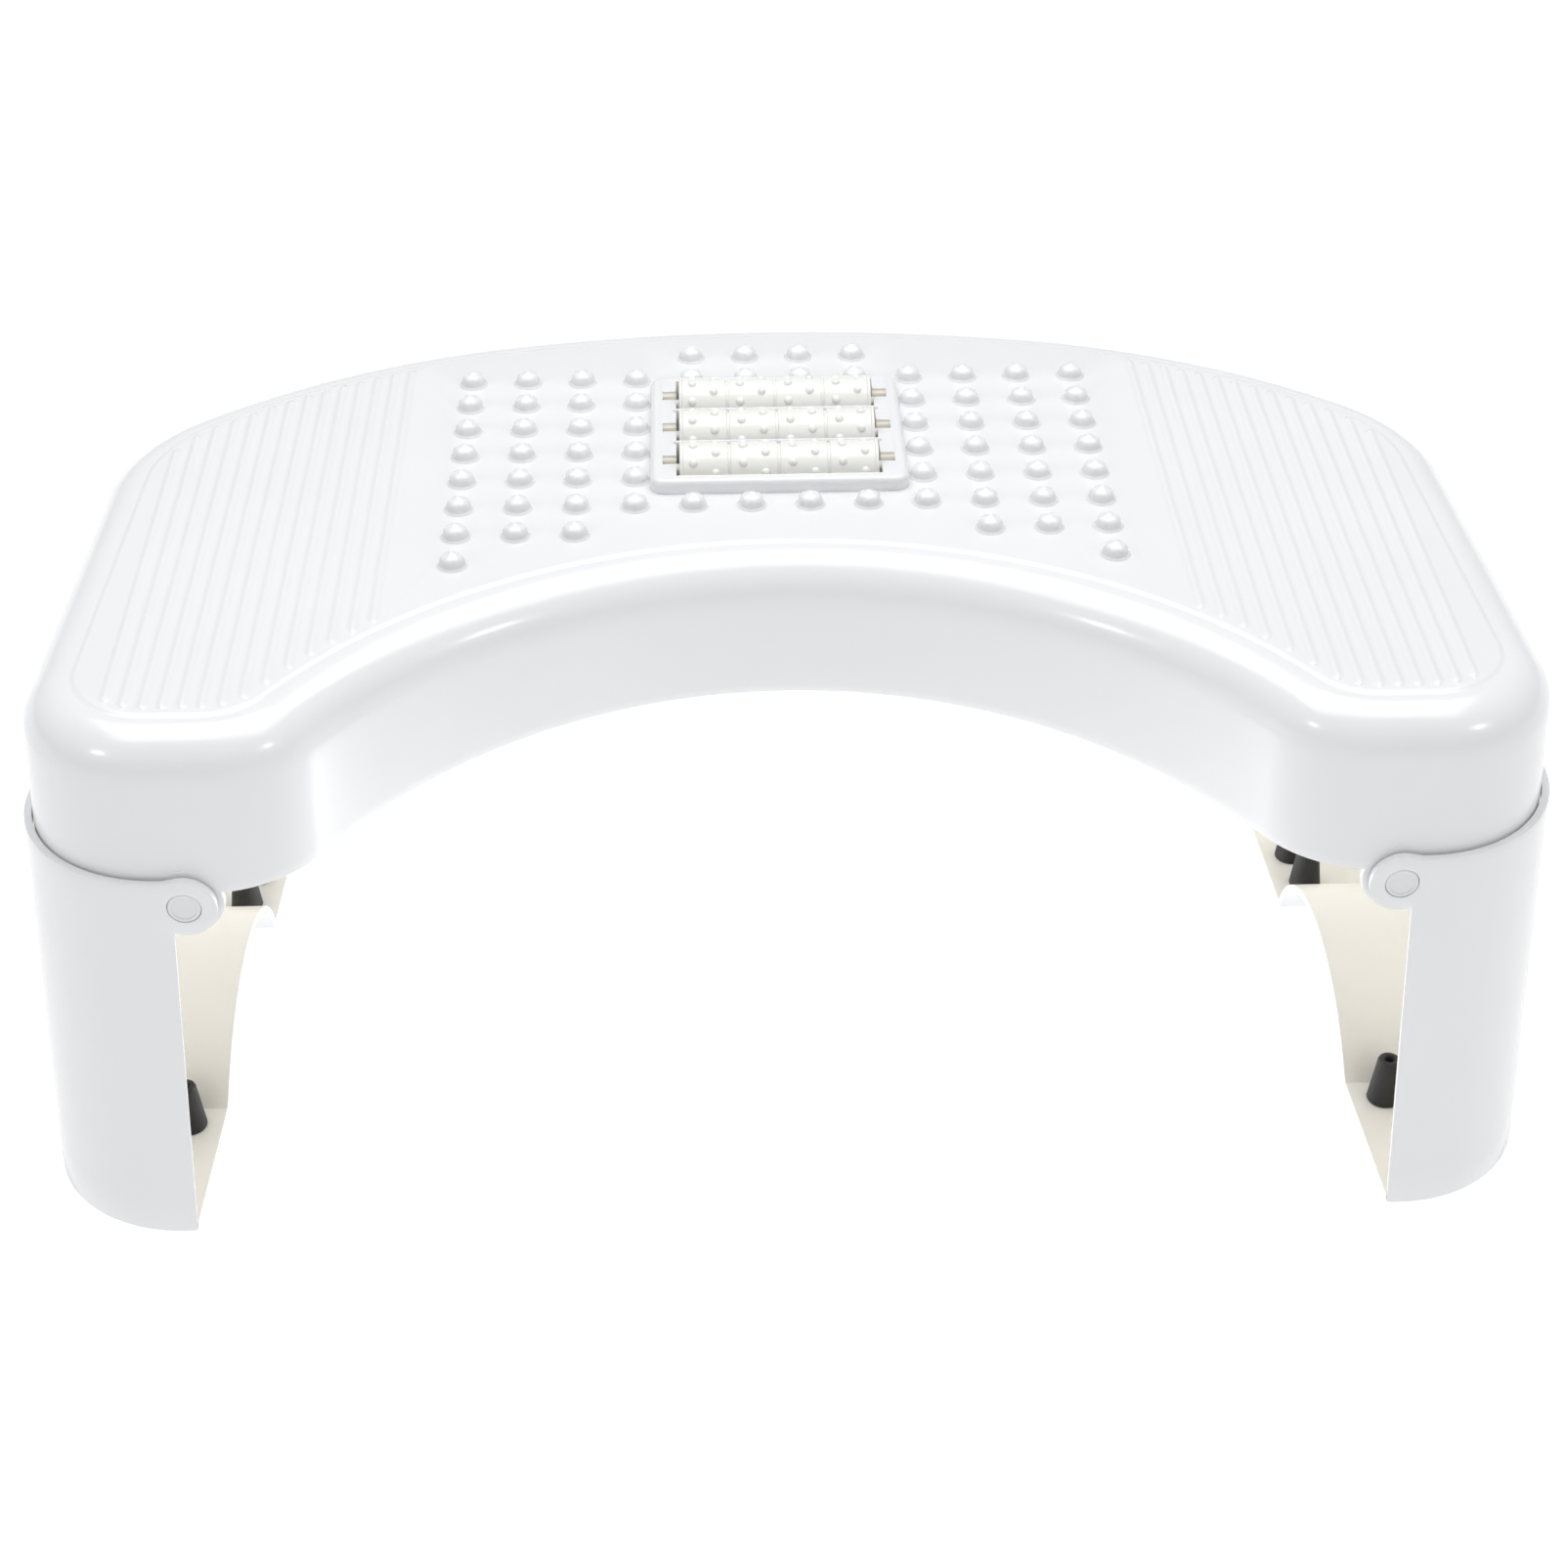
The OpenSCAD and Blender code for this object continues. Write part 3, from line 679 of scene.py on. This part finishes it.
def build_leg_wall():
    """The leg's outer wall with its front hinge ear."""
    s = Shape()
    outer, full = leg_stations(LEG_OUT)
    inner, _ = leg_stations(LEG_OUT - LEG_WALL)
    x_end = leaned(*outer[0], EAR_END_Z)[0]
    ear_low = HINGE_Z - math.sqrt(EAR_R ** 2 - (x_end - HINGE_X) ** 2)

    def column(p, y_for_edge, front):
        lo = under_z(y_for_edge)
        zs = [lo + (HINGE_CUT_Z - lo) * i / LOW_ROWS for i in range(LOW_ROWS + 1)]
        zs += [HINGE_CUT_Z + (ear_low - HINGE_CUT_Z) * i / MID_ROWS for i in range(1, MID_ROWS + 1)]
        x_top = leaned(*p, LEG_TOP)[0]
        top = wall_top(x_top) if front else LEG_TOP
        zs += [ear_low + (top - ear_low) * i / TOP_ROWS for i in range(1, TOP_ROWS + 1)]
        return [leaned(p[0], p[1], z) for z in zs]

    rows = LOW_ROWS + MID_ROWS + TOP_ROWS + 1
    out_v, in_v, faces = [], [], []
    for k, (p, q) in enumerate(zip(outer, inner)):
        out_v += column(p, p[1], k < EAR_REACH)
        in_v += column(q, p[1], k < EAR_REACH)
    for k in range(len(outer) - 1):
        limit = rows - 1 if k < full - 1 else LOW_ROWS
        for r in range(limit):
            a, b = k * rows + r, (k + 1) * rows + r
            faces.append((a, b, b + 1, a + 1))

    # The hinge ear, in columns from its inner side to the wall's front end.
    base = len(out_v)
    a_end = math.acos((HINGE_X - x_end) / EAR_R)
    for c in range(EAR_COLUMNS):
        a = a_end * c / EAR_COLUMNS
        x = HINGE_X - EAR_R * math.cos(a)
        half = EAR_R * math.sin(a)
        for r in range(TOP_ROWS + 1):
            z = HINGE_Z - half + 2 * half * r / TOP_ROWS
            out_v.append((x, leg_lo[1], z))
            in_v.append((x, leg_lo[1] + LEG_WALL, z))
    step = TOP_ROWS + 1
    for c in range(EAR_COLUMNS):
        for r in range(TOP_ROWS):
            a = base + c * step + r
            b = a + step if c < EAR_COLUMNS - 1 else LOW_ROWS + MID_ROWS + r
            faces.append((a, b, b + 1, a + 1))
    # The wall's inner faces take the cream painted glow of light through the shell.
    s.sheet(out_v, in_v, faces, (0, 1, 0))
    wall = to_object("leg", s, [shell_white, painted_inner_glow])

    # The wall keeps clear of the deck's hinge parts, and a stepped bore takes the pin and its head.
    swing = Shape()
    swing.lathe([(0, -80), (EAR_R + 0.1, -80), (EAR_R + 0.1, 130), (0, 130)], along_y(HINGE_X, HINGE_Z), 64)
    boolean(wall, swing)
    bore = Shape()
    bore.lathe([(r, leg_lo[1] + t) for r, t in
                [(0, -4), (4.5, -4), (4.5, 1.25), (BORE_R, 1.25), (BORE_R, 8), (0, 8)]],
               along_y(HINGE_X, HINGE_Z), 64)
    boolean(wall, bore)
    bevel(wall, 0.35, 50)
    return wall


def build_leg_floor():
    """The floor of the leg with its arch, from the wall's middle to the open inner side."""
    s = Shape()
    mid, _ = leg_stations(LEG_OUT - LEG_WALL / 2)
    across = 5
    low, high, quads = [], [], []
    for x, y in mid:
        x_in = min(inner_line(y), x)
        z0 = under_z(y, FLOOR_RECESS, FLOOR_Z + FLOOR_RECESS)
        z1 = under_z(y, LEG_WALL, FLOOR_Z + LEG_WALL)
        for i in range(across + 1):
            px = x_in + (x - x_in) * i / across
            low.append(leaned(px, y, z0))
            high.append(leaned(px, y, z1))
    for k in range(len(mid) - 1):
        for i in range(across):
            a = k * (across + 1) + i
            quads.append((a, a + 1, a + across + 2, a + across + 1))
    # The floor's upper face and edges take the cream painted glow of light through the shell.
    s.sheet(high, low, quads, (1, 0, 1))
    return to_object("leg_floor", s, [shell_white, painted_inner_glow])


def build_back_ear():
    """The leg's second hinge ear, on a web from the wall."""
    s = Shape()
    disc = [(EAR_R * math.cos(a), EAR_R * math.sin(a)) for a in
            [math.pi * 0.5 + math.pi * i / 24 for i in range(25)]]
    outer, _ = leg_stations(LEG_OUT)
    wall_x = [x for x, y in outer if y < BACK_EAR_Y + 1.9][-1] - 1.5
    reach = leaned(wall_x, 0, HINGE_Z)[0] - HINGE_X
    disc += [(reach + 1, -EAR_R - 14), (reach - 0.4, EAR_R - 1.0)]
    # The ear takes the cream painted glow of light through the shell.
    s.prism(disc, along_y(HINGE_X, HINGE_Z), BACK_EAR_Y, BACK_EAR_Y + BACK_EAR_T, 1)
    ear = to_object("leg_ear", s, [shell_white, painted_inner_glow])
    bore = Shape()
    bore.lathe([(0, 50), (BORE_R, 50), (BORE_R, 70), (0, 70)], along_y(HINGE_X, HINGE_Z), 48)
    boolean(ear, bore)
    bevel(ear, 0.3, 50)
    return ear


def merge(name, objects):
    """Joins objects with the same materials into one and returns it."""
    bm = bmesh.new()
    for o in objects:
        bm.from_mesh(o.data)
    mesh = bpy.data.meshes.new(name)
    bm.to_mesh(mesh)
    bm.free()
    for m in objects[0].data.materials:
        mesh.materials.append(m)
    for o in objects:
        data = o.data
        bpy.data.objects.remove(o)
        bpy.data.meshes.remove(data)
    mesh.shade_smooth()
    mesh.set_sharp_from_angle(angle=math.radians(SMOOTH_ANGLE))
    return new_object(name, mesh)


def mirror_copy(obj, name):
    """The other side's piece, mirrored about X = 0."""
    mesh = obj.data.copy()
    mesh.name = name
    bm = bmesh.new()
    bm.from_mesh(mesh)
    for v in bm.verts:
        v.co.x = -v.co.x
    bmesh.ops.reverse_faces(bm, faces=bm.faces)
    bm.to_mesh(mesh)
    bm.free()
    return new_object(name, mesh)


leg_right = merge("leg_right_shell", [build_leg_wall(), build_leg_floor(), build_back_ear()])
leg_left = mirror_copy(leg_right, "leg_left_shell")
piece(leg_right, "leg_right_body", "shell", "leg_right")
piece(leg_left, "leg_left_body", "shell", "leg_left")


# ---------------------------------------------------------------- feet
def build_foot(name, node):
    """A rubber foot: a pad under the leg's floor, a neck through it and a hollow tapered stem above it."""
    lo, hi = node_box(node)
    x, y = (lo[0] + hi[0]) / 2, (lo[1] + hi[1]) / 2
    pad_r, floor = (hi[0] - lo[0]) / 2, FLOOR_Z + LEG_WALL
    top = hi[2]
    profile = [(0, 0.0), (pad_r - 2.2, 0.0), (pad_r - 0.5, 0.05), (pad_r - 0.1, 0.35), (pad_r - 0.1, 0.8),
               (pad_r - 0.6, FLOOR_Z - 0.02), (4.1, FLOOR_Z - 0.02), (4.1, floor + 0.02),
               (4.7, floor + 0.02), (5.0, floor + 0.4), (4.85, floor + 1.6)]
    profile += [(4.85 - 1.5 * t, floor + 1.6 + (top - 1.0 - floor - 1.6) * t) for t in (0.33, 0.66, 1.0)]
    profile += [(3.1, top - 0.35), (2.6, top), (1.7, top), (1.3, top - 0.5), (1.2, top - 3.0), (0, top - 3.2)]
    s = Shape()
    s.lathe(profile, along_z(x, y), 40)
    return to_object(name, s, [foot_rubber], 40)


for side in ("left", "right"):
    for place in ("front", "middle", "back"):
        node = "foot_%s_%s" % (side, place)
        piece(build_foot("rubber_" + node, node), "leg_%s_body" % side, "foot", node)


# ---------------------------------------------------------------- hinge pins
def build_pin(name, node):
    """A hinge pin whose domed head is at its front end."""
    lo, hi = node_box(node)
    x, z = (lo[0] + hi[0]) / 2, (lo[2] + hi[2]) / 2
    y0, y1 = lo[1], hi[1]
    head = 4.35
    profile = [(0, y0 + 0.28), (2.2, y0 + 0.28), (3.25, y0 + 0.25), (3.5, y0 + 0.05), (3.7, y0),
               (head - 0.3, y0), (head - 0.08, y0 + 0.1), (head, y0 + 0.35), (head, y0 + 1.0),
               (head - 0.1, y0 + 1.1), (3.0, y0 + 1.1), (3.0, y1 - 0.8), (2.3, y1), (0, y1)]
    s = Shape()
    s.lathe(profile, along_y(x, z), 56)
    return to_object(name, s, [pin_white], 34)


for end in ("front", "back"):
    for side in ("left", "right"):
        node = "hinge_pin_%s_%s" % (end, side)
        piece(build_pin("headed_" + node, node), "deck", "pin", node)


# ---------------------------------------------------------------- roller frame
def rounded_rect(hx, y0, y1, r, n=6):
    """A rectangle from -hx to hx and y0 to y1 with corners of radius r."""
    points = []
    corners = ((hx - r, y1 - r), (-hx + r, y1 - r), (-hx + r, y0 + r), (hx - r, y0 + r))
    for (cx, cy), a0 in zip(corners, (0, 90, 180, 270)):
        points += [deg_point((cx, cy), r, a0 + 90 * i / n) for i in range(n + 1)]
    return points


roller_joints = [joints["roller_%s_spin" % k] for k in ("back", "middle", "front")]
roller_y = [mm(j["pos_m"][1]) for j in roller_joints]
AXLE_Z = mm(roller_joints[0]["pos_m"][2])
frame_mid = roller_y[1]
flange_top = tray_hi[2] - 0.7
TRAY_HALF, WELL_HALF, SLOT_REACH = 34, 29.4, 33.4
BAR_OFFSET = 10.0  # of each bar between two rollers from the middle roller's axis


def build_frame():
    """The raised frame, its tray with slots for the axles, and the two bars between the rollers."""
    s = Shape()
    y0, y1 = tray_lo[1], tray_hi[1]
    levels = [(0.0, DECK_Z), (0.0, flange_top - 1.6), (0.35, flange_top - 0.7), (1.1, flange_top - 0.1),
              (1.6, flange_top)]
    rings = [[(x, y, z) for x, y in rounded_rect(tray_hi[0] - d, y0 + d, y1 - d, 4.0 - d)] for d, z in levels]
    k = s.loops(rings)
    n = len(rings[0])
    s.f += [tuple(k[0] + i for i in reversed(range(n))), tuple(k[-1] + i for i in range(n))]
    s.m += [0, 0]
    obj = to_object("roller_cradle", s, [shell_white, painted_inner_glow])

    def box(half, ya, yb, z0, z1):
        b = Shape()
        # The tray takes the cream painted glow of light through the shell.
        b.prism([(-half, ya), (half, ya), (half, yb), (-half, yb)], along_z(0, 0), z0, z1, 1)
        return b

    boolean(obj, box(TRAY_HALF, y0 + 2, y1 - 2, tray_lo[2], DECK_Z + 1), "UNION")
    boolean(obj, box(WELL_HALF, frame_mid - WELL_HALF, frame_mid + WELL_HALF, tray_lo[2] + 1.6, DECK_Z + 19))
    for y in roller_y:
        slot = Shape()
        points = [(2.05 * math.cos(a), 2.05 * math.sin(a)) for a in
                  [math.pi * (0.83 + 1.34 * i / 24) for i in range(25)]]
        points += [(1.78, 2.4), (2.6, 3.0), (2.6, 12), (-2.6, 12), (-2.6, 3.0), (-1.78, 2.4)]
        # The slots' walls take the cream painted glow of light through the shell.
        slot.prism(points, along_x(y, AXLE_Z), -SLOT_REACH, SLOT_REACH, 1)
        boolean(obj, slot)
    bevel(obj, 0.3, 45)
    bars = Shape()
    for y in (frame_mid - BAR_OFFSET, frame_mid + BAR_OFFSET):
        profile = [(-0.6, AXLE_Z - 4), (0.6, AXLE_Z - 4), (0.6, tray_hi[2] - 0.35), (0.35, tray_hi[2]),
                   (-0.35, tray_hi[2]), (-0.6, tray_hi[2] - 0.35)]
        bars.prism(profile, along_x(y, 0), -30.2, 30.2)
    bar_obj = to_object("bars", bars, [shell_white, painted_inner_glow])
    return merge("roller_cradle", [obj, bar_obj])


piece(build_frame(), "deck", "shell", "roller_frame")


# ---------------------------------------------------------------- rollers and axles
def build_roller(name, y, turn):
    """A drum with end flanges, three grooves and two rings of raised beads in each of its four sections."""
    s = Shape()
    drum_r, half, sections = 8.0, 28.5, 4
    flange = 8.5
    profile = [(2.05, -half), (flange - 0.25, -half), (flange, -half + 0.25), (flange, -half + 0.8),
               (drum_r, -half + 1.1)]
    length = 2 * half / sections
    for k in range(1, sections):
        x = -half + k * length
        profile += [(drum_r, x - 0.55), (drum_r - 0.2, x - 0.42), (drum_r - 0.6, x - 0.38),
                    (drum_r - 0.6, x + 0.38), (drum_r - 0.2, x + 0.42), (drum_r, x + 0.55)]
    profile += [(drum_r, half - 1.1), (flange, half - 0.8), (flange, half - 0.25), (flange - 0.25, half),
                (2.05, half)]
    n = 56
    place = along_x(y, AXLE_Z)
    s.loops([[place(u, v, t) for u, v in circle(r, n)] for r, t in profile], 0, True)
    bead_r, rows, per = 1.5, 8, 2
    for row in range(rows):
        for k in range(sections * per):
            a = 2 * math.pi * (row + (k % 2) / 2) / rows + turn
            x = (k + 0.5) * length / per - half
            x += 0.35 if k % 2 == 0 else -0.35
            centre = drum_r + 0.8 - bead_r
            u, v = math.cos(a), math.sin(a)
            rings = []
            for polar in range(0, 181, 18):
                p = math.radians(polar)
                out, side = centre + bead_r * math.cos(p), bead_r * math.sin(p)
                ring = []
                for i in range(14):
                    w = 2 * math.pi * i / 14
                    tangent = side * math.cos(w)
                    ring.append(place(out * u - tangent * v, out * v + tangent * u, x + side * math.sin(w)))
                rings.append(ring)
            s.loops(rings)
    return to_object(name, s, [roller_white], 34)


for key, y, turn in zip(("back", "middle", "front"), roller_y, (0.15, 0.42, 0.02)):
    node = "roller_drum_" + key
    piece(build_roller("massage_roller_" + key, y, turn), "roller_" + key, "roller", node)
    lo, hi = node_box("roller_axle_" + key)
    rod = Shape()
    rod.lathe(rounded(2.0, lo[0], hi[0], 0.5), along_x(y, AXLE_Z), 32)
    piece(to_object("axle_rod_" + key, rod, [axle_ivory]), "deck", "axle", "roller_axle_" + key)


# ---------------------------------------------------------------- floor, camera and light, in metres
FLOOR_HALF = 60.0


def build_floor():
    """A plain white floor whose own faint light keeps it white to the horizon."""
    mesh = bpy.data.meshes.new("floor")
    corners = [(-FLOOR_HALF, -FLOOR_HALF), (FLOOR_HALF, -FLOOR_HALF), (FLOOR_HALF, FLOOR_HALF),
               (-FLOOR_HALF, FLOOR_HALF)]
    mesh.from_pydata([(x, y, 0) for x, y in corners], [], [(0, 1, 2, 3)])
    floor = new_object("floor", mesh)
    m = bpy.data.materials.new("floor_white")
    m.use_nodes = True
    b = m.node_tree.nodes["Principled BSDF"]
    b.inputs["Base Color"].default_value = (0.3, 0.3, 0.3, 1)
    b.inputs["Emission Color"].default_value = (1, 1, 1, 1)
    b.inputs["Emission Strength"].default_value = 0.88
    b.inputs["Roughness"].default_value = 0.9
    b.inputs["Specular IOR Level"].default_value = 0.0
    mesh.materials.append(m)


build_floor()

# What the camera looks at, its bearing and height as seen from there, and how far off it stands.
TARGET = Vector((0.00073, -0.004, 0.0665))
AZIMUTH, ELEVATION, DISTANCE = math.radians(-1.96), math.radians(34.87), 0.86153
cam_data = bpy.data.cameras.new("camera")
cam = new_object("camera", cam_data)
back = Vector((math.sin(AZIMUTH) * math.cos(ELEVATION), -math.cos(AZIMUTH) * math.cos(ELEVATION),
               math.sin(ELEVATION)))
cam.location = TARGET + back * DISTANCE
cam.rotation_mode = "QUATERNION"
cam.rotation_quaternion = (-back).to_track_quat("-Z", "Y")
cam_data.sensor_width = 36
cam_data.lens = 65.79
cam_data.clip_start, cam_data.clip_end = 0.05, 50
bpy.context.scene.camera = cam


def area(name, location, target, size, power):
    """A white rectangular lamp at a location, facing a target, that the camera doesn't see."""
    light = bpy.data.lights.new(name, "AREA")
    light.shape, light.size, light.size_y = "RECTANGLE", size[0], size[1]
    light.energy = power
    obj = new_object(name, light)
    obj.location = location
    obj.rotation_mode = "QUATERNION"
    obj.rotation_quaternion = (Vector(target) - Vector(location)).to_track_quat("-Z", "Y")
    obj.visible_camera = False


area("top_light", (0, 0.25, 1.5), (0, 0, 0.1), (1.6, 1.2), 17.5)
for name, side in (("left", -1), ("right", 1)):
    area(name + "_light", (side * 1.2, -0.8, 1.1), (0, 0, 0.12), (0.16, 0.16), 2.2)
    area(name + "_inner_light", (0, 0.02, 0.03), (side * 0.2, -0.03, 0.06), (0.16, 0.05), 0.2)

world = bpy.data.worlds.new("world")
bpy.context.scene.world = world
world.use_nodes = True
background = world.node_tree.nodes["Background"]
background.inputs["Color"].default_value = (0.995, 0.995, 1.0, 1)
background.inputs["Strength"].default_value = 0.385
bpy.context.scene.view_settings.view_transform = "Standard"

# Other pieces stand for all the CAD nodes, but each node still gets a finish.
for obj in frame["nodes"].values():
    obj.data.materials.clear()
    obj.data.materials.append(shell_white)
